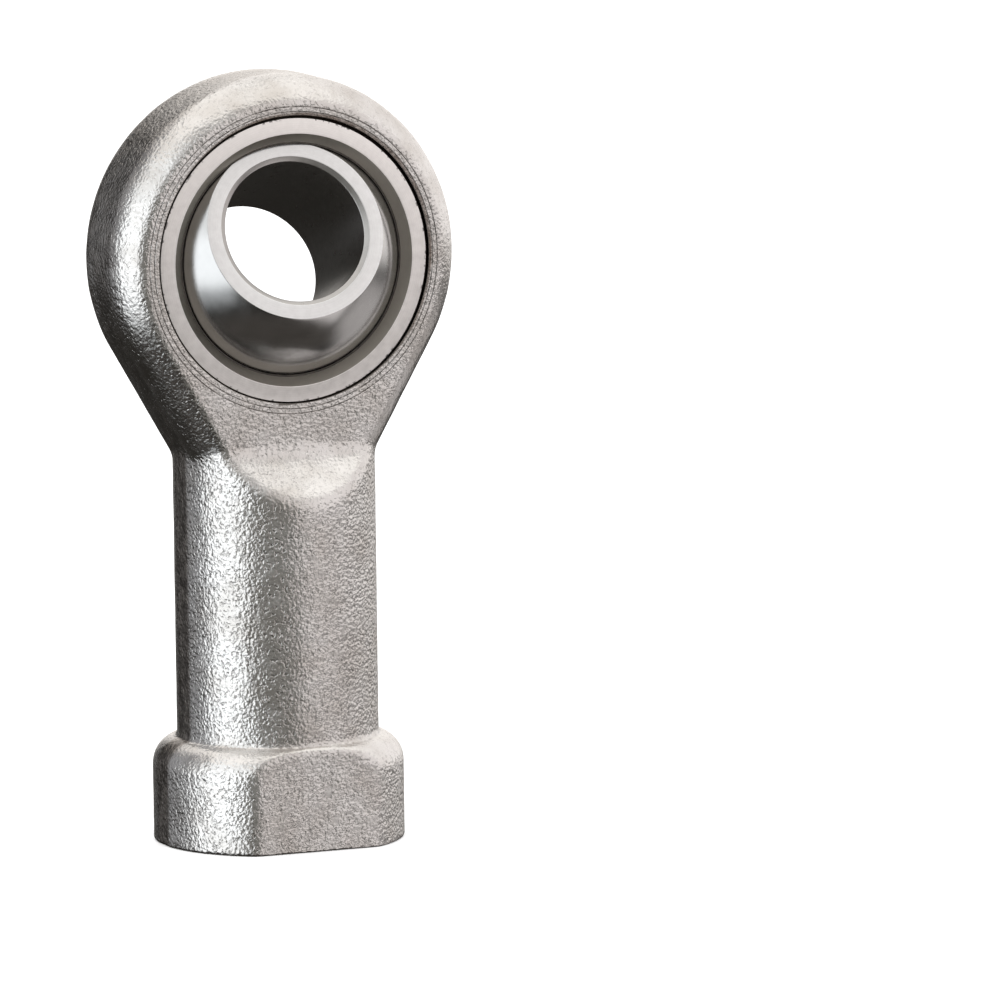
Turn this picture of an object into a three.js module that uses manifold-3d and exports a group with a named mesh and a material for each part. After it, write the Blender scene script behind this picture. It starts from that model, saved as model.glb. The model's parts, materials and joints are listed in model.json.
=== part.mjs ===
// Female rod end bearing, M20 x 1.5, 20 mm bore: a forged eye on an internally threaded shank,
// with a staked steel race, a bonded PTFE liner and a loose spherical ball.
//
// Frame: millimetres, +Z up. The origin is the centre of the shank's end face, +Z runs up the
// shank to the eye, and the race's axis runs along Y, with the front face towards -Y.
import * as THREE from "three";
import { mergeVertices } from "three/addons/utils/BufferGeometryUtils.js";
import Module from "manifold-3d";

// ---- driving dimensions, mm and degrees -------------------------------------------------

const EYE_HEIGHT = 82.3; // end face to the eye's centre
const EYE_RADIUS = 25.5;
const EYE_HALF_WIDTH = 9;
const RIM_ROUND_RADIAL = 3.6; // the rim's rounding, inwards from the outline
const RIM_ROUND_AXIAL = 5; // the same rounding, in from each face
const NECK_ANGLE = 30; // of the neck's sides, from the vertical
const NECK_DEPTH = 34; // how far below the eye's centre the neck runs on inside the shank

const SHANK_RADIUS = 14.15;
const SCOOP_TOP = 27; // below the eye's centre: where the eye's flat face turns outwards
const SCOOP_BOTTOM = 33.3; // below the eye's centre: where that slope meets the shank
const SCOOP_INSET = 0.05; // keeps the slope's top edge just inside the eye's face

const COLLAR_RADIUS = 17.6;
const COLLAR_TOP = 14.7; // end face to the foot of the plain shank
const SHOULDER_RADIUS = 4; // rounding of the collar's top edge
const COLLAR_EDGE = 0.5; // chamfer round the end face
const ACROSS_FLATS = 30;

const THREAD_MINOR_RADIUS = 9.25; // M20 x 1.5
const THREAD_ENTRY_RADIUS = 10.7;
const THREAD_HOLE_DEPTH = 36;
const DRILL_POINT_ANGLE = 59; // half of the drill's point

const BALL_BORE_RADIUS = 10;
const BALL_BORE_CHAMFER = 0.5;
const BALL_HALF_WIDTH = 12.5;
const BALL_FACE_RADIUS = 12.7; // outer edge of the ball's flat ends
const BALL_CLEARANCE = 0.1; // running gap to the liner

const LINER_THICKNESS = 0.3;
const LINER_HALF_WIDTH = 7.2;
const BOND_GAP = 0.12; // liner to race

const RACE_HALF_WIDTH = 8.95;
const RACE_RADIUS = 20.2;
const RACE_EDGE = 0.45; // outer chamfer, which the staked lip closes over
const RACE_MOUTH_RADIUS = 17.65; // inner edge of the race's flat ends
const RACE_MOUTH_DEPTH = 1.4; // of the mouth's chamfer, along the axis
const SEAT_GAP = 0.15; // race to housing
const LIP_GAP = 0.2; // race's outer chamfer to the lip
const LIP_RADIUS = 20.05;

const STAKE_INNER_RADIUS = 20.45; // the staking tool's shallow ring in each face
const STAKE_OUTER_RADIUS = 21.5;
const STAKE_DEPTH = 0.25;

const BALL_TILT = 21.4; // stored pose: how far the ball leans from the race's axis
const TILT_SWING = 10.3; // where the lean points: from straight up, towards -X

// ---- resolution ---------------------------------------------------------------------------

const ROUND_SEGMENTS = 64; // turns about the eye's axis
const SHANK_SEGMENTS = 56;
const OUTLINE_SEGMENTS = 48; // along the eye's outline
const SPHERE_STEPS = 8; // along a race's or a ball's profile
const RIM_STEPS = 4;
const SHOULDER_STEPS = 5;
const PAST = 2; // how far a cutting tool runs past the face that it enters
const MERGE_DISTANCE = 1e-4;

const radians = THREE.MathUtils.degToRad;
const BALL_RADIUS = Math.hypot(BALL_HALF_WIDTH, BALL_FACE_RADIUS);
const LINER_INNER_RADIUS = BALL_RADIUS + BALL_CLEARANCE;
const LINER_OUTER_RADIUS = LINER_INNER_RADIUS + LINER_THICKNESS;
const RACE_INNER_RADIUS = LINER_OUTER_RADIUS + BOND_GAP;

const wasm = await Module();
wasm.setup();

// ---- helpers ------------------------------------------------------------------------------

// A closed geometry as a manifold solid.
function solidFrom(geometry) {
  const bare = geometry.clone();
  bare.deleteAttribute("normal");
  bare.deleteAttribute("uv");
  const merged = mergeVertices(bare, MERGE_DISTANCE);
  return new wasm.Manifold(
    new wasm.Mesh({
      numProp: 3,
      vertProperties: merged.attributes.position.array,
      triVerts: new Uint32Array(merged.index.array),
    }),
  );
}

function geometryFrom(solid) {
  const { vertProperties, triVerts } = solid.getMesh();
  const geometry = new THREE.BufferGeometry();
  geometry.setAttribute("position", new THREE.BufferAttribute(vertProperties, 3));
  geometry.setIndex(new THREE.BufferAttribute(triVerts, 1));
  geometry.computeVertexNormals();
  return geometry;
}

// A turned shape about Y. Its profile is a list of [radius, height].
function turned(profile, segments) {
  const points = profile.map(([radius, height]) => new THREE.Vector2(radius, height));
  return new THREE.LatheGeometry(points, segments);
}

// A turned shape about Z, for the shank and its hole.
function turnedUpright(profile) {
  return turned(profile, SHANK_SEGMENTS).rotateX(Math.PI / 2);
}

// The arc of a sphere's profile between two heights, both ends included.
function sphereArc(radius, fromHeight, toHeight) {
  const from = Math.asin(fromHeight / radius);
  const to = Math.asin(toHeight / radius);
  return Array.from({ length: SPHERE_STEPS + 1 }, (_, i) => {
    const angle = from + ((to - from) * i) / SPHERE_STEPS;
    return [radius * Math.cos(angle), radius * Math.sin(angle)];
  });
}

function closed(profile) {
  return [...profile, profile[0]];
}

// ---- housing ------------------------------------------------------------------------------

// The eye and its tapering neck, as one plate with a rounded rim.
function eyeAndNeck() {
  const angle = radians(NECK_ANGLE);
  const footHalf = (EYE_RADIUS - NECK_DEPTH * Math.sin(angle)) / Math.cos(angle);
  const outline = new THREE.Shape();
  outline.absarc(0, 0, EYE_RADIUS, -angle, Math.PI + angle, false);
  outline.lineTo(-footHalf, -NECK_DEPTH);
  outline.lineTo(footHalf, -NECK_DEPTH);
  outline.closePath();
  const depth = 2 * (EYE_HALF_WIDTH - RIM_ROUND_AXIAL);
  const plate = new THREE.ExtrudeGeometry(outline, {
    depth,
    curveSegments: OUTLINE_SEGMENTS,
    bevelThickness: RIM_ROUND_AXIAL,
    bevelSize: RIM_ROUND_RADIAL,
    bevelOffset: -RIM_ROUND_RADIAL,
    bevelSegments: RIM_STEPS,
  });
  return plate
    .translate(0, 0, -depth / 2)
    .rotateX(Math.PI / 2)
    .translate(0, 0, EYE_HEIGHT);
}

// The shank and collar as turned: end face, collar, rounded shoulder, plain shank.
function shankBlank() {
  const arcRadius = COLLAR_RADIUS - SHOULDER_RADIUS;
  const topAngle = Math.acos((SHANK_RADIUS - arcRadius) / SHOULDER_RADIUS);
  const arcHeight = COLLAR_TOP - SHOULDER_RADIUS * Math.sin(topAngle);
  const shoulder = Array.from({ length: SHOULDER_STEPS + 1 }, (_, i) => {
    const angle = (topAngle * i) / SHOULDER_STEPS;
    return [arcRadius + SHOULDER_RADIUS * Math.cos(angle), arcHeight + SHOULDER_RADIUS * Math.sin(angle)];
  });
  const top = EYE_HEIGHT - SCOOP_TOP;
  return turnedUpright([
    [0, 0],
    [COLLAR_RADIUS - COLLAR_EDGE, 0],
    [COLLAR_RADIUS, COLLAR_EDGE],
    ...shoulder,
    [SHANK_RADIUS, top],
    [0, top],
  ]);
}

// The side view of the shank: two wrench flats below, and the slopes up to the eye's faces.
function sideView() {
  const flat = ACROSS_FLATS / 2;
  const top = EYE_HEIGHT - SCOOP_TOP;
  const topHalf = EYE_HALF_WIDTH - SCOOP_INSET;
  const fall = (SCOOP_BOTTOM - SCOOP_TOP) / (SHANK_RADIUS - topHalf);
  const slopeFoot = top - (flat - topHalf) * fall;
  const outline = new THREE.Shape([
    new THREE.Vector2(-flat, -PAST),
    new THREE.Vector2(flat, -PAST),
    new THREE.Vector2(flat, slopeFoot),
    new THREE.Vector2(topHalf, top),
    new THREE.Vector2(-topHalf, top),
    new THREE.Vector2(-flat, slopeFoot),
  ]);
  const depth = 2 * (COLLAR_RADIUS + PAST);
  const slab = new THREE.ExtrudeGeometry(outline, { depth, bevelEnabled: false });
  const toSide = new THREE.Matrix4().makeBasis(
    new THREE.Vector3(0, 1, 0),
    new THREE.Vector3(0, 0, 1),
    new THREE.Vector3(1, 0, 0),
  );
  return slab.translate(0, 0, -depth / 2).applyMatrix4(toSide);
}

// The tapped hole, cut to the thread's minor diameter, with its entry chamfer and drill point.
function threadHole() {
  const entryDepth = THREAD_ENTRY_RADIUS - THREAD_MINOR_RADIUS;
  const pointDepth = THREAD_MINOR_RADIUS / Math.tan(radians(DRILL_POINT_ANGLE));
  return turnedUpright([
    [0, -PAST],
    [THREAD_ENTRY_RADIUS, -PAST],
    [THREAD_ENTRY_RADIUS, 0],
    [THREAD_MINOR_RADIUS, entryDepth],
    [THREAD_MINOR_RADIUS, THREAD_HOLE_DEPTH],
    [0, THREAD_HOLE_DEPTH + pointDepth],
  ]);
}

// The race's seat through the eye, narrowed at each face by the staked lip.
function raceSeat() {
  const seatRadius = RACE_RADIUS + SEAT_GAP;
  const lipSum = RACE_RADIUS + RACE_HALF_WIDTH - RACE_EDGE + LIP_GAP * Math.SQRT2;
  const end = EYE_HALF_WIDTH + PAST;
  return turned(
    [
      [0, -end],
      [LIP_RADIUS, -end],
      [LIP_RADIUS, LIP_RADIUS - lipSum],
      [seatRadius, seatRadius - lipSum],
      [seatRadius, lipSum - seatRadius],
      [LIP_RADIUS, lipSum - LIP_RADIUS],
      [LIP_RADIUS, end],
      [0, end],
    ],
    ROUND_SEGMENTS,
  ).translate(0, 0, EYE_HEIGHT);
}

// The shallow ring that the staking tool leaves in one face; side is -1 for the front.
function stakeRing(side) {
  const inner = EYE_HALF_WIDTH - STAKE_DEPTH;
  const ring = turned(
    closed([
      [STAKE_INNER_RADIUS, inner],
      [STAKE_OUTER_RADIUS, inner],
      [STAKE_OUTER_RADIUS, EYE_HALF_WIDTH + PAST],
      [STAKE_INNER_RADIUS, EYE_HALF_WIDTH + PAST],
    ]),
    ROUND_SEGMENTS,
  );
  return ring.rotateX(side < 0 ? Math.PI : 0).translate(0, 0, EYE_HEIGHT);
}

function housing() {
  const shank = solidFrom(shankBlank()).intersect(solidFrom(sideView()));
  const cuts = [raceSeat(), threadHole(), stakeRing(-1), stakeRing(1)];
  const forging = solidFrom(eyeAndNeck()).add(shank);
  return geometryFrom(cuts.reduce((solid, cut) => solid.subtract(solidFrom(cut)), forging));
}

// ---- race, liner and ball, each about its own axis along Y ----------------------------------

function race() {
  const mouthHeight = RACE_HALF_WIDTH - RACE_MOUTH_DEPTH;
  return turned(
    closed([
      [RACE_RADIUS, RACE_EDGE - RACE_HALF_WIDTH],
      [RACE_RADIUS, RACE_HALF_WIDTH - RACE_EDGE],
      [RACE_RADIUS - RACE_EDGE, RACE_HALF_WIDTH],
      [RACE_MOUTH_RADIUS, RACE_HALF_WIDTH],
      ...sphereArc(RACE_INNER_RADIUS, mouthHeight, -mouthHeight),
      [RACE_MOUTH_RADIUS, -RACE_HALF_WIDTH],
      [RACE_RADIUS - RACE_EDGE, -RACE_HALF_WIDTH],
    ]),
    ROUND_SEGMENTS,
  );
}

function liner() {
  return turned(
    closed([
      ...sphereArc(LINER_OUTER_RADIUS, -LINER_HALF_WIDTH, LINER_HALF_WIDTH),
      ...sphereArc(LINER_INNER_RADIUS, LINER_HALF_WIDTH, -LINER_HALF_WIDTH),
    ]),
    ROUND_SEGMENTS,
  );
}

function ball() {
  const boreEnd = BALL_HALF_WIDTH - BALL_BORE_CHAMFER;
  const boreMouth = BALL_BORE_RADIUS + BALL_BORE_CHAMFER;
  return turned(
    closed([
      ...sphereArc(BALL_RADIUS, -BALL_HALF_WIDTH, BALL_HALF_WIDTH),
      [boreMouth, BALL_HALF_WIDTH],
      [BALL_BORE_RADIUS, boreEnd],
      [BALL_BORE_RADIUS, -boreEnd],
      [boreMouth, -BALL_HALF_WIDTH],
    ]),
    ROUND_SEGMENTS,
  );
}

// ---- assembly -----------------------------------------------------------------------------

function metal(color, roughness) {
  return new THREE.MeshStandardMaterial({ color, roughness, metalness: 1 });
}

const platedForging = metal(0xb9b6b2, 0.42);
const groundSteel = metal(0xc4c2be, 0.35);
const polishedSteel = metal(0xd8d8d8, 0.12);
const ptfe = new THREE.MeshStandardMaterial({ color: 0x3a342c, roughness: 0.8, metalness: 0 });

function piece(name, geometry, material) {
  const mesh = new THREE.Mesh(geometry, material);
  mesh.name = name;
  return mesh;
}

// The bearing sits in the eye, and the ball leans in it about the eye's centre.
const bearing = new THREE.Group();
bearing.position.z = EYE_HEIGHT;
const innerBall = piece("inner_ball", ball(), polishedSteel);
const swing = radians(TILT_SWING);
const tiltAxis = new THREE.Vector3(-Math.cos(swing), 0, -Math.sin(swing));
innerBall.quaternion.setFromAxisAngle(tiltAxis, radians(BALL_TILT));
bearing.add(
  piece("outer_race", race(), groundSteel),
  piece("ptfe_liner", liner(), ptfe),
  innerBall,
);

const rodEnd = new THREE.Group();
rodEnd.add(piece("housing", housing(), platedForging), bearing);

export default rodEnd;
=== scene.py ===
"""Looks of the rod end bearing: a plated forging, a ground race, a PTFE liner and a polished ball."""

import json
import math

import bpy
import numpy as np
from mathutils import Matrix, Vector, noise


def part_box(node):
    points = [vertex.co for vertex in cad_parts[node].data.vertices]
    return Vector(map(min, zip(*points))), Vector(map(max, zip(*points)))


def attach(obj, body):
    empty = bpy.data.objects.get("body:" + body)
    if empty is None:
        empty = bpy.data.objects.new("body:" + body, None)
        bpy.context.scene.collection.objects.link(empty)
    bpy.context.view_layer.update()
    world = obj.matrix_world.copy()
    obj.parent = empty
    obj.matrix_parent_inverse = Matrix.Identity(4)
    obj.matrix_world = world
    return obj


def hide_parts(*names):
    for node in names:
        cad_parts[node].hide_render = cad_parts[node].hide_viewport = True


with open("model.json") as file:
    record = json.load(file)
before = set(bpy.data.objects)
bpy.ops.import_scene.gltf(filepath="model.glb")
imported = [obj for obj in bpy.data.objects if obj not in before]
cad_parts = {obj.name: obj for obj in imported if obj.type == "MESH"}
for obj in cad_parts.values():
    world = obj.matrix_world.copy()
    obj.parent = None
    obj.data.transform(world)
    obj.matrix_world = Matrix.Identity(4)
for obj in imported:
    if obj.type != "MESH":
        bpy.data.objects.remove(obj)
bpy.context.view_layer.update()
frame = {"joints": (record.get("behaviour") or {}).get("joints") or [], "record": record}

MM = 0.001

# ---- sizes, from the frame where it holds them ----------------------------------------------

EYE = Vector(frame["joints"][0]["pos_m"])
ACROSS = Vector((0, 1, 0))  # the eye's axis
UP = Vector((0, 0, 1))  # the shank's axis
HOUSING_LOW, HOUSING_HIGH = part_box("housing")
RACE_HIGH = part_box("outer_race")[1]
BALL_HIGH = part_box("inner_ball")[1]
LINER_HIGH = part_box("ptfe_liner")[1]
MOUNTS = {m["name"]: m for m in frame["record"]["mounts"]}

EYE_RADIUS = HOUSING_HIGH.x
EYE_HALF_WIDTH = 9.0 * MM
RIM_ROUND_RADIAL = 3.6 * MM
RIM_ROUND_AXIAL = 5.0 * MM
RIM_FULLNESS = (1.45, 2.0)  # front and back: 1 is a straight bevel, 2 is a quarter of an ellipse
NECK_ANGLE = math.radians(30)
NECK_DEPTH = 31.0 * MM
NECK_FOOT_EDGE = 1.0 * MM

SHANK_RADIUS = 14.15 * MM
SCOOP_TOP = 27.0 * MM
SCOOP_BOTTOM = 33.3 * MM
COLLAR_RADIUS = 17.6 * MM
COLLAR_TOP = 14.7 * MM
SHOULDER_RADIUS = 4.0 * MM
HALF_FLATS = abs(MOUNTS["wrench_flat_front"]["pos_m"][1])
TRIM_DEPTH = 0.14 * MM  # how far the trimmed parting line is flattened
TRIM_EDGE = 0.04 * MM
BOTTOM_EDGE = 0.5 * MM
SCOOP_EDGE = 0.9 * MM
FLATS_EDGE = 0.5 * MM
COLLAR_FILLET = 0.5 * MM
NECK_FILLET = 0.35 * MM  # at the neck's sides
NECK_FILLET_GROWTH = 0.9 * MM  # and how much wider it is at the front and back

LONG_WAVE = (0.03 * MM, 0.3)  # the forging's unevenness: its height, and its waves per millimetre
SHORT_WAVE = (0.012 * MM, 0.7)
SHORT_WAVE_SHIFT = Vector((7, 3, 1))  # keeps the two apart

THREAD_MINOR_RADIUS = 9.19 * MM
THREAD_MAJOR_RADIUS = 10.0 * MM
THREAD_PITCH = 1.5 * MM
THREAD_LENGTH = 33.0 * MM
THREAD_HOLE_DEPTH = 36.0 * MM
THREAD_ENTRY_RADIUS = 10.7 * MM
DRILL_POINT_ANGLE = math.radians(59)
THREAD_FLANK = math.radians(30)
THREAD_OVERLAP = 0.15 * MM  # how far the groove's tool reaches inside the hole's wall
THREAD_RUN_OUT = 0.02  # the part of its depth that the groove keeps at its very end

RACE_RADIUS = RACE_HIGH.x
RACE_HALF_WIDTH = RACE_HIGH.y
RACE_EDGE = 0.45 * MM
RACE_EDGE_ROUND = 0.1 * MM
RACE_CROWN = 0.18 * MM  # how far the ground face falls away towards its outer edge
RACE_MOUTH_RADIUS = 17.65 * MM
RACE_MOUTH_DEPTH = 1.2 * MM
RACE_INNER_RADIUS = 18.12 * MM
SEAT_GAP = 0.15 * MM
LIP_RADIUS = 20.08 * MM
LIP_GAP = 0.2 * MM
LIP_SHIFT = 0.13 * MM  # the lip runs a little off centre, towards +X and up
LIP_DIRECTION = Vector((1, 0, 1)).normalized()
LIP_BAND_SHIFT = 0.42 * MM  # and the painted shade round it a little further
LIP_BREAK = 0.1 * MM  # the small chamfer where the lip meets the eye's face
STAKE_LINES = (20.72 * MM, 21.42 * MM)
STAKE_LINE_WIDTH = 0.17 * MM
STAKE_LINE_DEPTH = 0.12 * MM

LINER_HALF_WIDTH = LINER_HIGH.y + 0.48 * MM
LINER_OUTER_RADIUS = 18.09 * MM
LINER_INNER_RADIUS = 17.87 * MM

BALL_RADIUS = BALL_HIGH.x
BALL_HALF_WIDTH = 12.5 * MM
BALL_AXIS = -Vector(MOUNTS["ball_face_front"]["axis"])
BALL_BORE_RADIUS = 10.0 * MM
BALL_BORE_CHAMFER = 0.7 * MM
BALL_BORE_CHAMFER_DEPTH = 0.4 * MM
BALL_BORE_ROUND = 0.35 * MM
BALL_EDGE_ROUND = 0.12 * MM

# ---- mesh helpers -----------------------------------------------------------------------------


def new_object(name, vertices, faces):
    """A linked object with a checked mesh of these vertices and faces."""
    mesh = bpy.data.meshes.new(name)
    mesh.from_pydata([tuple(v) for v in vertices], [], [tuple(f) for f in faces])
    mesh.validate()
    mesh.update()
    obj = bpy.data.objects.new(name, mesh)
    bpy.context.scene.collection.objects.link(obj)
    return obj


def smooth(obj, degrees):
    """Smooth shading, with edges that turn by more than the angle kept sharp."""
    obj.data.shade_smooth()
    obj.data.set_sharp_from_angle(angle=math.radians(degrees))
    return obj


def turned(name, profile, segments, axis=ACROSS, centre=EYE):
    """A turned shape. The profile is a list of (radius, height), closed, or with both ends at radius 0."""
    turn = ACROSS.rotation_difference(axis).to_matrix()
    closed = profile[0][0] > 0
    vertices, rings = [], []
    for radius, height in profile:
        steps = segments if radius > 0 else 1
        first = len(vertices)
        for i in range(steps):
            a = 2 * math.pi * i / segments
            vertices.append(turn @ Vector((radius * math.sin(a), height, radius * math.cos(a))) + centre)
        rings.append([first + i % steps for i in range(segments + 1)])
    faces = []
    count = len(rings)
    for j in range(count if closed else count - 1):
        low, high = rings[j], rings[(j + 1) % count]
        for i in range(segments):
            corners = [low[i], low[i + 1], high[i + 1], high[i]]
            face = [c for k, c in enumerate(corners) if c != corners[k - 1]]
            if len(face) > 2:
                faces.append(face)
    return new_object(name, vertices, faces)


def rounded(corners, steps=5):
    """A closed outline of (x, y, radius) corners as points, with each corner rounded by an arc."""
    points = []
    count = len(corners)
    for i, (x, y, radius) in enumerate(corners):
        here = Vector((x, y))
        if radius <= 0:
            points.append((x, y))
            continue
        back = (Vector(corners[i - 1][:2]) - here).normalized()
        ahead = (Vector(corners[(i + 1) % count][:2]) - here).normalized()
        half = back.angle(ahead) / 2
        centre = here + (back + ahead).normalized() * radius / math.sin(half)
        start = here + back * radius / math.tan(half) - centre
        end = here + ahead * radius / math.tan(half) - centre
        sweep = start.angle_signed(end)
        for k in range(steps + 1):
            arm = start.copy()
            arm.rotate(Matrix.Rotation(-sweep * k / steps, 2))
            points.append(tuple(centre + arm))
    return points


def sphere_arc(radius, low, high, steps):
    """Corners for rounded() along a sphere's outline, from one height to the other."""
    start, end = math.asin(low / radius), math.asin(high / radius)
    angles = [start + (end - start) * i / steps for i in range(steps + 1)]
    return [(radius * math.cos(a), radius * math.sin(a), 0) for a in angles]


def cut(obj, tool):
    """Subtracts the tool from obj and removes it."""
    modifier = obj.modifiers.new("cut", "BOOLEAN")
    modifier.operation = "DIFFERENCE"
    modifier.solver = "MANIFOLD"
    modifier.object = tool
    graph = bpy.context.evaluated_depsgraph_get()
    made = bpy.data.meshes.new_from_object(obj.evaluated_get(graph))
    obj.modifiers.clear()
    old, obj.data = obj.data, made
    bpy.data.meshes.remove(old)
    bpy.data.objects.remove(tool)


# ---- the forging as a field: below zero inside, above zero outside ----------------------------


def soft_max(a, b, k):
    """The larger of a and b, with the edge between them rounded over a width k."""
    h = np.maximum(k - np.abs(a - b), 0) / k
    return np.maximum(a, b) + h * h * k / 4


def soft_min(a, b, k):
    """The smaller of a and b, with the hollow between them filled over a width k."""
    return -soft_max(-a, -b, k)


def round_box(a, b, fullness=2.0):
    """Distance to a corner at a = 0, b = 0. Its levels outside the corner are rounded, and fuller or
    flatter than a circle by the power given."""
    outside = (np.maximum(a, 0) ** fullness + np.maximum(b, 0) ** fullness) ** (1 / fullness)
    return outside + np.minimum(np.maximum(a, b), 0)


def eye_field(x, y, z):
    """Eye and neck: a circle with two tangents, with an oval rounding round the rim."""
    side, up = np.abs(x), z
    on_circle = side * math.sin(NECK_ANGLE) + up * math.cos(NECK_ANGLE) >= 0
    tangent = side * math.cos(NECK_ANGLE) - up * math.sin(NECK_ANGLE)
    outline = np.where(on_circle, np.hypot(side, up), tangent) - EYE_RADIUS
    a = (outline + RIM_ROUND_RADIAL) / RIM_ROUND_RADIAL
    b = (np.abs(y) - EYE_HALF_WIDTH + RIM_ROUND_AXIAL) / RIM_ROUND_AXIAL
    plate = (round_box(a, b, np.where(y < 0, *RIM_FULLNESS)) - 1) * RIM_ROUND_RADIAL
    return soft_max(plate, -z - NECK_DEPTH, NECK_FOOT_EDGE)


def shank_field(x, y, z):
    """The round shank, trimmed at its sides, with a slope up to the eye's face at front and back."""
    r = np.hypot(x, y)
    rise, run = SCOOP_BOTTOM - SCOOP_TOP, SHANK_RADIUS - EYE_HALF_WIDTH
    slope = math.hypot(rise, run)
    scoop = ((np.abs(y) - EYE_HALF_WIDTH) * rise + (z + SCOOP_TOP) * run) / slope
    stem = soft_max(r - SHANK_RADIUS, np.abs(x) - SHANK_RADIUS + TRIM_DEPTH, TRIM_EDGE)
    return soft_max(stem, scoop, SCOOP_EDGE)


def collar_field(x, y, height):
    """The wrench collar: round, with a rounded shoulder, trimmed at its sides, with two flats."""
    r = np.hypot(x, y)
    arc_radius = COLLAR_RADIUS - SHOULDER_RADIUS
    arc_height = COLLAR_TOP - math.sqrt(SHOULDER_RADIUS**2 - (SHANK_RADIUS - arc_radius) ** 2)
    blank = round_box(r - arc_radius, height - arc_height) - SHOULDER_RADIUS
    trimmed = soft_max(blank, np.abs(x) - COLLAR_RADIUS + TRIM_DEPTH, TRIM_EDGE)
    return soft_max(trimmed, np.abs(y) - HALF_FLATS, FLATS_EDGE)


def forging_field(points):
    """The whole forging. The neck's fillet is wider at the front and back."""
    x, y, height = points[..., 0], points[..., 1], points[..., 2]
    z = height - EYE.z
    front = y**2 / (x**2 + y**2 + 1e-12)
    fillet = NECK_FILLET + NECK_FILLET_GROWTH * front
    body = soft_min(eye_field(x, y, z), shank_field(x, y, z), fillet)
    body = soft_min(body, collar_field(x, y, height), COLLAR_FILLET)
    return soft_max(body, -height, BOTTOM_EDGE)


def gradient(field, points, step=0.02 * MM):
    """The field's slope at each point."""
    shifts = np.eye(3) * step
    return np.stack([(field(points + s) - field(points - s)) / (2 * step) for s in shifts], -1)


def settle(field, points, rounds, longest=0.5 * MM, flattest=0.05):
    """Moves points onto the field's zero surface, with a limit on each step's length."""
    for _ in range(rounds):
        slope = gradient(field, points)
        size = np.maximum((slope**2).sum(-1), flattest)
        move = (field(points) / size)[:, None] * slope
        length = np.linalg.norm(move, axis=-1, keepdims=True)
        points = points - move * np.minimum(1, longest / np.maximum(length, 1e-12))
    return points


def field_surface(field, low, high, step, fine_low, fine_high):
    """Vertices and quads of the field's zero surface, one vertex to each grid cell that it crosses.

    The cells are a third as high between the two heights given, where small edges lie."""
    axes = [np.arange(low[i], high[i] + step, step) for i in range(2)]
    fine, coarse = np.arange(fine_low, fine_high, step / 3), np.arange(fine_high, high[2], step)
    axes.append(np.concatenate([fine, coarse]))
    grid = np.stack(np.meshgrid(*axes, indexing="ij"), -1)
    inside = field(grid) < 0
    nx, ny, nz = np.array(inside.shape) - 1
    corners = [(i, j, k) for i in (0, 1) for j in (0, 1) for k in (0, 1)]
    count = sum(inside[i : nx + i, j : ny + j, k : nz + k].astype(int) for i, j, k in corners)
    mixed = (count > 0) & (count < len(corners))
    index = np.full(mixed.shape, -1)
    index[mixed] = np.arange(mixed.sum())
    cells = np.argwhere(mixed)
    points = np.stack([(axes[i][1:] + axes[i][:-1])[cells[:, i]] / 2 for i in range(3)], -1)
    quads = []
    steps = np.eye(3, dtype=int)
    for axis in range(3):
        along, u, v = steps[axis], steps[(axis + 1) % 3], steps[(axis + 2) % 3]
        first = inside[tuple(slice(0, n - a) for n, a in zip(inside.shape, along))]
        second = inside[tuple(slice(a, n) for n, a in zip(inside.shape, along))]
        for leaving, order in ((first & ~second, 1), (second & ~first, -1)):
            at = np.argwhere(leaving)
            ring = [index[tuple((at - s).T)] for s in (u + v, v, 0 * u, u)]
            quads.append(np.stack(ring[::order], -1))
    return points, np.concatenate(quads)


def relax(field, points, quads, rounds):
    """Evens out the vertices along the surface."""
    a = quads.ravel()
    b = np.roll(quads, -1, axis=1).ravel()
    ends, others = np.concatenate([a, b]), np.concatenate([b, a])
    share = np.bincount(ends, minlength=len(points))[:, None]
    for _ in range(rounds):
        total = np.stack([np.bincount(ends, points[others, i], len(points)) for i in range(3)], -1)
        points = settle(field, (points + total / share) / 2, 2)
    return points


# ---- housing ------------------------------------------------------------------------------------

CELL = 0.44 * MM  # grid step of the forging's mesh
FINE_LOW = -0.3 * MM  # the grid is finer here, round the end face's edge
FINE_HIGH = 1.2 * MM
ROUND_SEGMENTS = 256
THREAD_SEGMENTS = 64


def forged_skin(points, normals):
    """How far the forging's surface stands out at each point. The turned end face stays flat."""
    heights = np.empty(len(points))
    for i, p in enumerate(points):
        v = Vector(p) / MM
        long = noise.noise(v * LONG_WAVE[1])
        short = noise.noise(v * SHORT_WAVE[1] + SHORT_WAVE_SHIFT)
        heights[i] = LONG_WAVE[0] * long + SHORT_WAVE[0] * short
    at_foot = points[:, 2] < 0.8 * BOTTOM_EDGE
    facing_down = normals[:, 2] < -0.7
    return np.where(at_foot & facing_down, 0, heights)


def forging():
    """The forging as one closed mesh, before anything is machined in it."""
    margin = Vector((2, 2, 2)) * MM
    low, high = HOUSING_LOW - margin, HOUSING_HIGH + margin
    points, quads = field_surface(forging_field, low, high, CELL, FINE_LOW, FINE_HIGH)
    points = settle(forging_field, points, 5)
    points = relax(forging_field, points, quads, 3)
    normals = gradient(forging_field, points)
    normals /= np.linalg.norm(normals, axis=-1, keepdims=True)
    points = points + normals * forged_skin(points, normals)[:, None]
    return new_object("housing_forging", points, quads)


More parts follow.
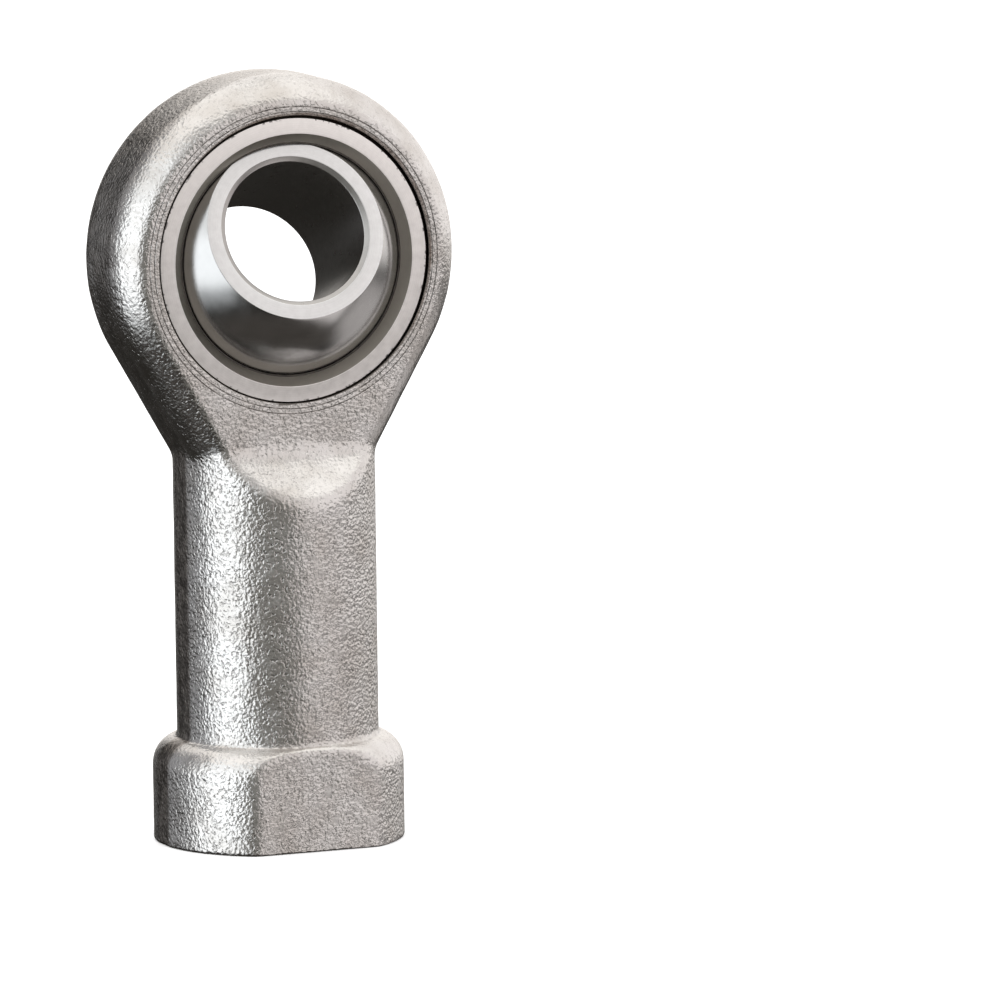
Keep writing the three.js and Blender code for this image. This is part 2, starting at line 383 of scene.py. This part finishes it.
def seat_tools():
    """The race's seat, the staked lips over its edges, and the fine lines that the tool left."""
    seat = RACE_RADIUS + SEAT_GAP
    lip_sum = RACE_RADIUS + RACE_HALF_WIDTH - RACE_EDGE + LIP_GAP * math.sqrt(2)
    end = EYE_HALF_WIDTH + 3 * MM
    break_top = EYE_HALF_WIDTH + 0.2 * LIP_BREAK  # just above the face, which isn't quite even
    half = [
        (seat, lip_sum - seat),
        (LIP_RADIUS, lip_sum - LIP_RADIUS),
        (LIP_RADIUS, EYE_HALF_WIDTH - 1.2 * LIP_BREAK),
        (LIP_RADIUS + LIP_BREAK, break_top),
        (LIP_RADIUS + LIP_BREAK, end),
    ]
    profile = [(0, -end)] + [(r, -h) for r, h in half[::-1]] + half + [(0, end)]
    tools = [turned("seat_tool", profile, ROUND_SEGMENTS, centre=EYE + LIP_DIRECTION * LIP_SHIFT)]
    above = 0.5 * MM  # each line's V runs on above the face, so that it cuts cleanly
    half_width = STAKE_LINE_WIDTH / 2 * (1 + above / STAKE_LINE_DEPTH)
    bottom, top = EYE_HALF_WIDTH - STAKE_LINE_DEPTH, EYE_HALF_WIDTH + above
    for side in (-1, 1):
        for radius in STAKE_LINES:
            line = [(radius, bottom), (radius + half_width, top), (radius - half_width, top)]
            line = [(r, h * side) for r, h in line][::side]
            tools.append(turned("stake_tool", line, ROUND_SEGMENTS))
    return tools


def thread_tools():
    """The drilled and chamfered hole, and the thread's groove as a trapezium wound round it."""
    base = Vector((0, 0, 0))
    entry = THREAD_ENTRY_RADIUS - THREAD_MINOR_RADIUS
    point = THREAD_MINOR_RADIUS / math.tan(DRILL_POINT_ANGLE)
    below = 2 * MM
    hole = turned("hole_tool", [
        (0, -below), (THREAD_ENTRY_RADIUS + below, -below), (THREAD_MINOR_RADIUS, entry),
        (THREAD_MINOR_RADIUS, THREAD_HOLE_DEPTH), (0, THREAD_HOLE_DEPTH + point),
    ], ROUND_SEGMENTS // 2, UP, base)
    inner = THREAD_MINOR_RADIUS - THREAD_OVERLAP
    root = THREAD_PITCH / 16  # half of the groove's flat bottom
    mouth = root + (THREAD_MAJOR_RADIUS - inner) * math.tan(THREAD_FLANK)
    section = [(inner, -mouth), (THREAD_MAJOR_RADIUS, -root), (THREAD_MAJOR_RADIUS, root), (inner, mouth)]
    sides = len(section)
    turns = THREAD_LENGTH / THREAD_PITCH + 1
    count = int(turns * THREAD_SEGMENTS)
    vertices, faces = [], []
    for i in range(count + 1):
        a = 2 * math.pi * i / THREAD_SEGMENTS
        rise = THREAD_PITCH * (i / THREAD_SEGMENTS - 1)
        left = min(1, (count - i) / THREAD_SEGMENTS)  # the groove runs out over its last turn
        for radius, height in section:
            r = inner + (radius - inner) * max(left, THREAD_RUN_OUT)
            vertices.append((r * math.cos(a), r * math.sin(a), rise + height))
    for i in range(count):
        for k in range(sides):
            a, b = sides * i + k, sides * i + (k + 1) % sides
            faces.append((a, b, b + sides, a + sides))
    faces += [tuple(range(sides))[::-1], tuple(sides * count + k for k in range(sides))]
    return [hole, new_object("thread_tool", vertices, faces)]


def housing():
    """The forging with its seat, lips, hole and thread."""
    obj = forging()
    for tool in seat_tools() + thread_tools():
        cut(obj, tool)
    return smooth(obj, 32)


# ---- race, liner and ball --------------------------------------------------------------------


def race():
    """The ground ring, open to the ball inside, with a chamfered mouth at each end."""
    mouth = RACE_HALF_WIDTH - RACE_MOUTH_DEPTH
    face_radius = RACE_RADIUS - RACE_EDGE
    edge = RACE_EDGE_ROUND
    outline = [
        (RACE_RADIUS, RACE_EDGE + RACE_CROWN - RACE_HALF_WIDTH, edge),
        (RACE_RADIUS, RACE_HALF_WIDTH - RACE_EDGE - RACE_CROWN, edge),
        (face_radius, RACE_HALF_WIDTH - RACE_CROWN, edge),
        (RACE_MOUTH_RADIUS, RACE_HALF_WIDTH, edge),
        *sphere_arc(RACE_INNER_RADIUS, mouth, -mouth, steps=32),
        (RACE_MOUTH_RADIUS, -RACE_HALF_WIDTH, edge),
        (face_radius, RACE_CROWN - RACE_HALF_WIDTH, edge),
    ]
    return smooth(turned("race_ring", rounded(outline), ROUND_SEGMENTS), 25)


def liner():
    """A thin spherical shell between the race and the ball."""
    edge = LINER_HALF_WIDTH
    outline = [
        *sphere_arc(LINER_OUTER_RADIUS, -edge, edge, steps=24),
        *sphere_arc(LINER_INNER_RADIUS, edge, -edge, steps=24),
    ]
    return smooth(turned("liner_shell", rounded(outline), ROUND_SEGMENTS), 30)


def ball():
    """The sphere with flat ends, leaning as the stored pose has it, and its chamfered bore."""
    face_radius = math.sqrt(BALL_RADIUS**2 - BALL_HALF_WIDTH**2)
    mouth = BALL_BORE_RADIUS + BALL_BORE_CHAMFER
    bore_end = BALL_HALF_WIDTH - BALL_BORE_CHAMFER_DEPTH
    arc = sphere_arc(BALL_RADIUS, -BALL_HALF_WIDTH, BALL_HALF_WIDTH, steps=72)[1:-1]
    edge = BALL_EDGE_ROUND
    outline = [
        (face_radius, -BALL_HALF_WIDTH, edge),
        *arc,
        (face_radius, BALL_HALF_WIDTH, edge),
        (mouth, BALL_HALF_WIDTH, BALL_BORE_ROUND),
        (BALL_BORE_RADIUS, bore_end, edge),
        (BALL_BORE_RADIUS, -bore_end, edge),
        (mouth, -BALL_HALF_WIDTH, BALL_BORE_ROUND),
    ]
    return smooth(turned("ball", rounded(outline), ROUND_SEGMENTS, BALL_AXIS), 25)


# ---- materials --------------------------------------------------------------------------------

# Stops of (place in the noise, colour) for the colours that vary.
PLATE_TONES = ((0.3, (0.61, 0.585, 0.56)), (0.6, (0.76, 0.75, 0.74)), (0.8, (0.81, 0.8, 0.795)))
BROWN_TONES = ((0.35, (0.13, 0.11, 0.095)), (0.6, (0.38, 0.345, 0.315)))
POLISH_TONES = ((0.3, (0.54, 0.54, 0.54)), (0.7, (0.64, 0.64, 0.64)))
FIBRE_TONES = ((0.3, (0.018, 0.014, 0.011)), (0.7, (0.045, 0.036, 0.028)))
FLOOR_TONES = ((0.3, (0.93, 0.93, 0.93)), (0.7, (0.95, 0.95, 0.95)))

# colour of the painted shade in the pits of the forged skin
PIT_SHADE = (0.14, 0.13, 0.12, 1)
# colour of the painted shade round the lip, at the gap beside the race
LIP_SHADE_COLOR = (0.14, 0.1, 0.075, 1)
# colour of the painted shade in the stake lines
STAKE_LINE_SHADE = (0.12, 0.1, 0.09, 1)

END_FACE_COLOR = (0.6, 0.59, 0.58)
SEAT_COLOR = (0.3, 0.28, 0.26)
RACE_FACE_COLOR = (1.0, 0.98, 0.965)
RACE_EDGE_COLOR = (0.2, 0.17, 0.15)
RACE_MOUTH_COLOR = (0.46, 0.43, 0.385)
BALL_FACE_COLOR = (0.93, 0.945, 0.95)
BALL_BORE_COLOR = (0.52, 0.51, 0.5)

STAIN_HALF_WIDTH = 2.6 * MM  # of the brown stain along the parting line
STAIN_GROWTH = 3.0 * MM  # how much wider it gets at the eye's upper left
STAIN_GROWTH_RUN = 15 * MM
STAIN_SOFTNESS = 0.8 * MM
NICK_BAND = 0.25 * MM  # nicks lie this near the outer edge of the race's face


class Nodes:
    """A material under construction, with short calls for the nodes it needs."""

    def __init__(self, name, **values):
        self.material = bpy.data.materials.new(name)
        self.material.use_nodes = True
        self.tree = self.material.node_tree
        self.shader = self.tree.nodes["Principled BSDF"]
        for key, value in values.items():
            self.shader.inputs[key.replace("_", " ")].default_value = value

    def add(self, kind, links=None, **settings):
        """A node, with each of its inputs linked to a socket or set to a value."""
        node = self.tree.nodes.new(kind)
        for key, value in settings.items():
            setattr(node, key, value)
        for key, value in (links or {}).items():
            if isinstance(value, bpy.types.NodeSocket):
                self.tree.links.new(value, node.inputs[key])
            else:
                node.inputs[key].default_value = value
        return node

    def place(self):
        """The point's place in the part's frame, in metres."""
        return self.add("ShaderNodeTexCoord").outputs["Object"]

    def noise(self, scale, detail, roughness=0.55):
        """Noise between 0 and 1, with about scale lumps to a metre."""
        links = {"Vector": self.place(), "Scale": scale, "Detail": detail, "Roughness": roughness}
        return self.add("ShaderNodeTexNoise", links).outputs["Fac"]

    def spread(self, value, low, high, to_low, to_high):
        """The value with low..high stretched to to_low..to_high, and held there beyond."""
        links = {0: value, 1: low, 2: high, 3: to_low, 4: to_high}
        return self.add("ShaderNodeMapRange", links).outputs[0]

    def ramp(self, value, *stops):
        """A colour for the value, between stops of (position, colour)."""
        node = self.add("ShaderNodeValToRGB", {0: value})
        elements = node.color_ramp.elements
        while len(elements) < len(stops):
            elements.new(0.5)
        for element, (position, color) in zip(elements, stops):
            element.position = position
            element.color = (*color, 1)
        return node.outputs[0]

    def math(self, operation, a, b=0.0):
        """The result of one sum on sockets or numbers."""
        return self.add("ShaderNodeMath", {0: a, 1: b}, operation=operation).outputs[0]

    def bump(self, height, distance, strength, normal=None):
        """A normal tilted by the height's slope, on top of another normal if one is given."""
        links = {"Height": height, "Distance": distance, "Strength": strength}
        if normal:
            links["Normal"] = normal
        return self.add("ShaderNodeBump", links).outputs["Normal"]

    def radius_from(self, centre, axis):
        """Distance from an axis, for marks that run round it."""
        arm = self.add("ShaderNodeVectorMath", {0: self.place(), 1: centre}, operation="SUBTRACT")
        across = self.add("ShaderNodeVectorMath", {0: arm.outputs[0], 1: axis}, operation="CROSS_PRODUCT")
        return self.add("ShaderNodeVectorMath", {0: across.outputs[0]}, operation="LENGTH").outputs["Value"]

    def rings(self, radius, per_metre):
        """Fine marks that run round an axis."""
        links = {"W": self.math("MULTIPLY", radius, per_metre), "Scale": 1.0, "Detail": 3.0}
        return self.add("ShaderNodeTexNoise", links, noise_dimensions="1D").outputs["Fac"]

    def around(self, centre, axis):
        """The direction round an axis, for marks that run that way."""
        arm = self.add("ShaderNodeVectorMath", {0: self.place(), 1: centre}, operation="SUBTRACT")
        cross = self.add("ShaderNodeVectorMath", {0: axis, 1: arm.outputs[0]}, operation="CROSS_PRODUCT")
        turn = self.add("ShaderNodeVectorTransform", {0: cross.outputs[0]}, vector_type="VECTOR",
                        convert_from="OBJECT", convert_to="WORLD")
        return self.add("ShaderNodeVectorMath", {0: turn.outputs[0]}, operation="NORMALIZE").outputs[0]

    def attribute(self, name):
        """A number that mark_wear wrote at each vertex."""
        return self.add("ShaderNodeAttribute", attribute_name=name).outputs["Fac"]

    def blend(self, a, b, factor):
        """Colour a where the factor is 0, and b where it is 1."""
        node = self.add("ShaderNodeMix", data_type="RGBA")
        for key, value in (("Factor", factor), ("A", a), ("B", b)):
            socket = [i for i in node.inputs if i.name == key and i.enabled][0]
            if isinstance(value, bpy.types.NodeSocket):
                self.tree.links.new(value, socket)
            else:
                socket.default_value = value
        return [o for o in node.outputs if o.enabled][0]

    def set(self, **links):
        """Links the sockets to the shader and gives the finished material."""
        for key, value in links.items():
            self.tree.links.new(value, self.shader.inputs[key.replace("_", " ")])
        return self.material


def forged_metal():
    """Plated steel with a blasted skin: fine pits and pebbles with painted shade in the pits, smoother
    where the forging was rubbed, with brown stains along the parting line, and painted shade round the lips
    and in the stake lines."""
    n = Nodes("forged_skin", Metallic=1.0)
    wear = n.attribute("wear")
    trim = n.attribute("trim")
    cells = n.add("ShaderNodeTexVoronoi", {"Vector": n.place(), "Scale": 1950, "Smoothness": 0.3,
                                           "Randomness": 1.0}, feature="SMOOTH_F1").outputs["Distance"]
    grains = n.noise(2500, 1.0, 0.5)
    lumps = n.noise(1000, 1.0)
    pits = n.spread(n.noise(1800, 1.0, 0.5), 0.34, 0.43, 0.0, 1.0)
    pebbles = n.math("ADD", n.math("MULTIPLY", cells, -0.7), n.math("MULTIPLY", grains, 0.8))
    relief = n.math("ADD", pebbles, n.math("MULTIPLY", pits, 0.42))
    height = n.math("MULTIPLY", relief, n.spread(wear, 0.0, 1.0, 1.0, 0.4))
    normal = n.bump(height, 0.15 * MM, 0.65, n.bump(lumps, 0.12 * MM, 0.4))
    plate = n.ramp(n.noise(140, 4.0), *PLATE_TONES)
    brown = n.ramp(n.noise(500, 4.0), *BROWN_TONES)
    skin = n.blend(plate, brown, n.math("MULTIPLY", trim, 0.85))
    # painted shade in the pits: the low parts of the relief get the darker colour, less so where the
    # forging is rubbed smooth
    depth = n.math("MULTIPLY", n.spread(pits, 0.0, 0.7, 0.26, 0.0), n.spread(wear, 0.0, 1.0, 1.0, 0.1))
    color = n.blend(skin, PIT_SHADE, depth)
    # painted shade: a dark brown band on the face just outside the lip, off centre towards +X and up
    lip = n.radius_from(EYE + LIP_DIRECTION * LIP_BAND_SHIFT, ACROSS)
    lip_shade = n.math("MULTIPLY", n.spread(lip, LIP_RADIUS + 0.1 * MM, LIP_RADIUS + 0.3 * MM, 0.8, 0.0),
                  n.spread(n.noise(700, 3.0), 0.3, 0.6, 0.7, 1.0))
    color = n.blend(color, LIP_SHADE_COLOR, lip_shade)
    radius = n.radius_from(EYE, ACROSS)
    # painted shade in each stake line's groove: a dark line along its radius, broken up by noise
    for line in STAKE_LINES:
        off = n.math("ABSOLUTE", n.math("SUBTRACT", radius, line))
        line_shade = n.math("MULTIPLY", n.spread(off, 0.03 * MM, 0.1 * MM, 0.5, 0.0),
                      n.spread(n.noise(900, 2.0), 0.38, 0.5, 0.1, 1.0))
        color = n.blend(color, STAKE_LINE_SHADE, line_shade)
    rough = n.spread(n.noise(500, 3.0), 0.3, 0.7, 0.19, 0.3)
    return n.set(Base_Color=color, Roughness=rough, Normal=normal)


def turned_metal(name, axis, centre, base, rough, marks=9000, depth=0.006 * MM, stretch=0.6, nicked=0):
    """Machined metal, with fine marks round the axis that stretch its reflections across them.

    There are about that many marks to a metre. Small dark nicks lie outside the radius called nicked,
    unless it is 0."""
    n = Nodes(name, Metallic=1.0, Anisotropic=stretch)
    radius = n.radius_from(centre, axis)
    rings = n.rings(radius, marks)
    blotches = n.noise(900, 4.0)
    color = n.ramp(blotches, (0.32, [c * 0.89 for c in base]), (0.64, base))
    streaked = n.blend(color, [c * 0.8 for c in base] + [1], n.spread(rings, 0.35, 0.7, 0.0, 0.35))
    if nicked:
        edge = n.spread(radius, nicked, nicked + 0.2 * MM, 0.0, 1.0)
        nicks = n.math("MULTIPLY", n.spread(n.noise(1300, 1.0), 0.58, 0.63, 0.0, 0.9), edge)
        streaked = n.blend(streaked, [c * 0.15 for c in base] + [1], nicks)
    roughness = n.spread(blotches, 0.3, 0.7, rough * 0.9, rough * 1.1)
    return n.set(Base_Color=streaked, Roughness=roughness, Normal=n.bump(rings, depth, 0.5),
                 Tangent=n.around(centre, axis))


def polished_metal():
    """The ball's polish: a slightly hazy mirror."""
    n = Nodes("mirror_polish", Metallic=1.0, Anisotropic=0.5)
    haze = n.noise(260, 4.0)
    color = n.ramp(haze, *POLISH_TONES)
    rough = n.spread(haze, 0.3, 0.75, 0.17, 0.25)
    return n.set(Base_Color=color, Roughness=rough, Tangent=n.around(EYE, BALL_AXIS))


def woven_ptfe():
    """The liner's dark fabric."""
    n = Nodes("liner_weave", Metallic=0.0)
    weave = n.add("ShaderNodeTexVoronoi", {"Vector": n.place(), "Scale": 3200}).outputs["Distance"]
    color = n.ramp(n.noise(1500, 3.0), *FIBRE_TONES)
    rough = n.spread(weave, 0.0, 0.6, 0.55, 0.8)
    return n.set(Base_Color=color, Roughness=rough, Normal=n.bump(weave, 0.03 * MM, 0.6))


def read_vectors(collection, name):
    """A vector of every vertex or face of a mesh, as an array."""
    values = np.empty(len(collection) * 3)
    collection.foreach_get(name, values)
    return values.reshape(-1, 3)


def paint(obj, materials, chosen):
    """Gives obj the materials, and each face the one whose number is chosen for it."""
    obj.data.materials.clear()
    for material in materials:
        obj.data.materials.append(material)
    obj.data.polygons.foreach_set("material_index", chosen.astype(np.int32))
    obj.data.update()


def radii(points, centre, axis):
    """Each point's distance from an axis."""
    arm = points - np.array(centre)
    along = arm @ np.array(axis)
    return np.linalg.norm(arm - along[:, None] * np.array(axis), axis=-1)


def paint_housing(obj):
    """Turned metal in the hole and the seat, and the forged skin elsewhere."""
    end_face = turned_metal("turned_end_face", UP, Vector(), END_FACE_COLOR, 0.32, 3000, 0.02 * MM)
    seat = turned_metal("seat_bore", ACROSS, EYE, SEAT_COLOR, 0.4)
    centres = read_vectors(obj.data.polygons, "center")
    x, y, height = centres.T
    in_hole = (height < EYE.z - SCOOP_BOTTOM) & (np.hypot(x, y) < THREAD_ENTRY_RADIUS + 0.2 * MM)
    in_hole |= height < 0.05 * MM
    in_seat = radii(centres, EYE, ACROSS) < LIP_RADIUS + 0.2 * MM
    in_seat &= np.abs(y) < EYE_HALF_WIDTH - 0.02 * MM
    paint(obj, [forged_metal(), end_face, seat], np.where(in_hole, 1, np.where(in_seat, 2, 0)))
    mark_wear(obj)


def fade(value, start, full):
    """0 up to start, 1 from full on, and a straight ramp between."""
    return np.clip((value - start) / (full - start), 0, 1)


def mark_wear(obj):
    """Writes at each vertex how far the forging is rubbed smooth, and how far it is stained brown."""
    x, y, height = read_vectors(obj.data.vertices, "co").T
    normals = read_vectors(obj.data.vertices, "normal")
    across, rise = np.abs(normals[:, 1]), normals[:, 2]
    on_eye = height > EYE.z - SCOOP_TOP
    on_rim = 0.8 * fade(1 - across, 0, 0.25) * fade(across, 0.1, 0.5)
    on_slope = 0.9 * fade(rise, 0.25, 0.6)
    wear = np.where(on_eye, on_rim, on_slope)
    upper_left = fade(-x, 0, STAIN_GROWTH_RUN) * (height > EYE.z)
    stained = STAIN_HALF_WIDTH + STAIN_GROWTH * upper_left
    trim = fade(stained - np.abs(y), 0, STAIN_SOFTNESS) * (across < 0.5)
    trim *= np.where(on_eye, 0.5, 1) * np.where(x < 0, 1, 0.6)
    for name, values in (("wear", wear), ("trim", trim)):
        layer = obj.data.attributes.new(name, "FLOAT", "POINT")
        layer.data.foreach_set("value", values.astype(np.float32))


def paint_race(obj):
    """A ground face, with nicks near its edge, a duller mouth and a dark outer edge."""
    face = turned_metal("ground_race_face", ACROSS, EYE, RACE_FACE_COLOR, 0.33, 9000, 0.004 * MM, 0.3,
                        nicked=RACE_RADIUS - RACE_EDGE - NICK_BAND)
    edge = turned_metal("race_edge", ACROSS, EYE, RACE_EDGE_COLOR, 0.4)
    mouth = turned_metal("race_mouth", ACROSS, EYE, RACE_MOUTH_COLOR, 0.55)
    radius = radii(read_vectors(obj.data.polygons, "center"), EYE, ACROSS)
    inner = radius < RACE_MOUTH_RADIUS - 0.08 * MM
    outer = radius > RACE_RADIUS - RACE_EDGE + 0.05 * MM
    paint(obj, [face, mouth, edge], np.where(inner, 1, np.where(outer, 2, 0)))


def paint_liner(obj):
    """One woven skin all over."""
    obj.data.materials.append(woven_ptfe())


def paint_ball(obj):
    """A polished sphere, with ground end faces and a bored hole."""
    face = turned_metal("ball_end_face", BALL_AXIS, EYE, BALL_FACE_COLOR, 0.34, 8000, 0.003 * MM, 0.4)
    bore = turned_metal("ball_bore", BALL_AXIS, EYE, BALL_BORE_COLOR, 0.3)
    normals = read_vectors(obj.data.polygons, "normal")
    facing = np.abs(normals @ np.array(BALL_AXIS)) > 0.9
    radius = radii(read_vectors(obj.data.polygons, "center"), EYE, BALL_AXIS)
    in_bore = radius < BALL_BORE_RADIUS + BALL_BORE_CHAMFER
    paint(obj, [polished_metal(), face, bore], np.where(facing, 1, np.where(in_bore, 2, 0)))


# ---- floor, light and camera --------------------------------------------------------------------

CAMERA_AZIMUTH = -22.6
CAMERA_ELEVATION = 8.15
CAMERA_ROLL = 0.7
CAMERA_DISTANCE = 1.5343
CAMERA_RIGHT = 31.54 * MM  # how far the camera stands beside and below the line to the eye
CAMERA_UP = -34.74 * MM
CAMERA_LENS = 396.35
CAMERA_CLIP = (0.05, 50)

FLOOR_HALF = 6.0
LAMP_SIZE = (1.6, 1.2)
LAMP_POWER = 2.0
LAMP_PLACE = EYE + Vector((0.1, -0.1, 1.2))


def bearing(azimuth, elevation):
    """The direction from the part to something, with the azimuth counted from the camera's."""
    a, e = math.radians(CAMERA_AZIMUTH + azimuth), math.radians(elevation)
    return Vector((math.sin(a) * math.cos(e), -math.cos(a) * math.cos(e), math.sin(e)))


def camera():
    """A long lens at the CAMERA_ sizes above, rolled a little."""
    back = bearing(0, CAMERA_ELEVATION)
    upright = back.to_track_quat("Z", "Y").to_matrix()
    data = bpy.data.cameras.new("camera")
    data.lens = CAMERA_LENS
    data.clip_start, data.clip_end = CAMERA_CLIP
    obj = bpy.data.objects.new("camera", data)
    bpy.context.scene.collection.objects.link(obj)
    obj.location = EYE + back * CAMERA_DISTANCE + upright @ Vector((CAMERA_RIGHT, CAMERA_UP, 0))
    obj.rotation_euler = (upright @ Matrix.Rotation(-math.radians(CAMERA_ROLL), 3, "Z")).to_euler()
    bpy.context.scene.camera = obj


def floor():
    """A plain pale floor, which the metal doesn't reflect."""
    half = FLOOR_HALF
    corners = [(-half, -half, 0), (half, -half, 0), (half, half, 0), (-half, half, 0)]
    obj = new_object("floor", corners, [(0, 1, 2, 3)])
    n = Nodes("pale_floor", Roughness=0.9, Specular_IOR_Level=0.0)
    color = n.ramp(n.noise(3.0, 2.0), *FLOOR_TONES)
    obj.data.materials.append(n.set(Base_Color=color))
    obj.visible_glossy = False


def floor_light():
    """A broad soft lamp overhead, which lights the floor. The part itself reflects the studio."""
    light = bpy.data.lights.new("overhead", "AREA")
    light.shape = "RECTANGLE"
    light.size, light.size_y = LAMP_SIZE
    light.energy = LAMP_POWER
    obj = bpy.data.objects.new("overhead", light)
    bpy.context.scene.collection.objects.link(obj)
    obj.location = LAMP_PLACE
    obj.visible_glossy = False


# Soft panels round the part, in degrees: azimuth as bearing() counts it, half width, lowest and
# highest elevation, softness of the edges. Then the colour of the light.
PANELS = {
    "top": (0, 180, 40, 95, 14, (1.26, 1.22, 1.17)),
    "front": (0, 30, -30, 26, 8, (0.21, 0.205, 0.19)),
    "front_high": (5, 48, 22, 62, 9, (0.47, 0.455, 0.44)),
    "back": (158, 36, -6, 44, 9, (1.14, 1.09, 1.04)),
    "back_high": (-165, 46, 30, 44, 10, (1.07, 1.02, 0.97)),
    "far_left": (-110, 22, -12, 50, 9, (0.32, 0.32, 0.33)),
    "below": (20, 100, -95, -48, 7, (0.075, 0.067, 0.06)),
    "right": (68, 42, -8, 44, 5, (0.92, 0.865, 0.845)),
    "right_far": (130, 34, -7, 44, 7, (1.06, 1.01, 0.98)),
    "table": (60, 30, -50, -18, 5, (0.87, 0.82, 0.8)),
    "table_far": (122, 26, -50, -17, 6, (0.52, 0.49, 0.475)),
    "left_low": (-60, 24, -36, -12, 7, (0.5, 0.52, 0.53)),
    "left": (-57, 24, -23, 44, 6, (1.6, 1.65, 1.68)),
    "left_high": (-44, 31, 18, 46, 9, (1.17, 1.19, 1.19)),
}
STUDIO_DARK = (0.03, 0.028, 0.025, 1)
PLAIN_WHITE = (1.6, 1.6, 1.6, 1)


def studio():
    """The room that the metal reflects: dark, with soft panels. The floor and camera see plain white."""
    world = bpy.data.worlds.new("studio")
    world.use_nodes = True
    tree = world.node_tree

    def add(kind, operation, *values):
        """A node that works on numbers or vectors, and its result."""
        node = tree.nodes.new(kind)
        node.operation = operation
        for i, value in enumerate(values):
            if isinstance(value, bpy.types.NodeSocket):
                tree.links.new(value, node.inputs[i])
            else:
                node.inputs[i].default_value = value
        return node.outputs["Value"] if operation == "DOT_PRODUCT" else node.outputs[0]

    def edge(value, start, end):
        """A smooth step from 0 at start to 1 at end, both in degrees, for a value in radians."""
        node = tree.nodes.new("ShaderNodeMapRange")
        node.interpolation_type = "SMOOTHSTEP"
        tree.links.new(value, node.inputs["Value"])
        node.inputs["From Min"].default_value = math.radians(start)
        node.inputs["From Max"].default_value = math.radians(end)
        return node.outputs[0]

    def mix(factor, a, b):
        """Colour a where the factor is 0, and b where it is 1."""
        node = tree.nodes.new("ShaderNodeMix")
        node.data_type = "RGBA"
        sockets = [i for i in node.inputs if i.enabled]
        for socket, value in zip(sockets, (factor, a, b)):
            if isinstance(value, bpy.types.NodeSocket):
                tree.links.new(value, socket)
            else:
                socket.default_value = value
        return [o for o in node.outputs if o.enabled][0]

    place = tree.nodes.new("ShaderNodeTexCoord").outputs["Generated"]
    flat = add("ShaderNodeVectorMath", "MULTIPLY", place, (1, 1, 0))
    heading = add("ShaderNodeVectorMath", "NORMALIZE", flat)
    split = tree.nodes.new("ShaderNodeSeparateXYZ")
    tree.links.new(place, split.inputs[0])
    elevation = add("ShaderNodeMath", "ARCSINE", split.outputs["Z"])
    color = STUDIO_DARK
    for azimuth, half, low, high, soft, glow in PANELS.values():
        off = add("ShaderNodeVectorMath", "DOT_PRODUCT", heading, bearing(azimuth, 0))
        inside = add("ShaderNodeMath", "MULTIPLY", off, 0.9999)  # never past what an arccosine takes
        off = add("ShaderNodeMath", "ARCCOSINE", inside)
        mask = edge(off, half + soft, half - soft)
        mask = add("ShaderNodeMath", "MULTIPLY", mask, edge(elevation, low - soft, low + soft))
        mask = add("ShaderNodeMath", "MULTIPLY", mask, edge(elevation, high + soft, high - soft))
        color = mix(mask, color, (*glow, 1))
    glossy = tree.nodes.new("ShaderNodeLightPath").outputs["Is Glossy Ray"]
    color = mix(glossy, PLAIN_WHITE, color)
    tree.links.new(color, tree.nodes["Background"].inputs["Color"])
    bpy.context.scene.world = world
    bpy.context.scene.view_settings.view_transform = "Standard"


# ---- assembly ------------------------------------------------------------------------------------

# What makes each piece, what paints it, its body, the node that it replaces, and its slot.
PIECES = [
    (housing, paint_housing, "eye", "housing", "plated_forging"),
    (race, paint_race, "eye", "outer_race", "ground_race"),
    (liner, paint_liner, "eye", "ptfe_liner", "ptfe_liner"),
    (ball, paint_ball, "ball", "inner_ball", "polished_ball"),
]

for make, dress, body, node, slot in PIECES:
    piece = make()
    dress(piece)
    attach(piece, body)
    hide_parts(node)

camera()
floor()
floor_light()
studio()
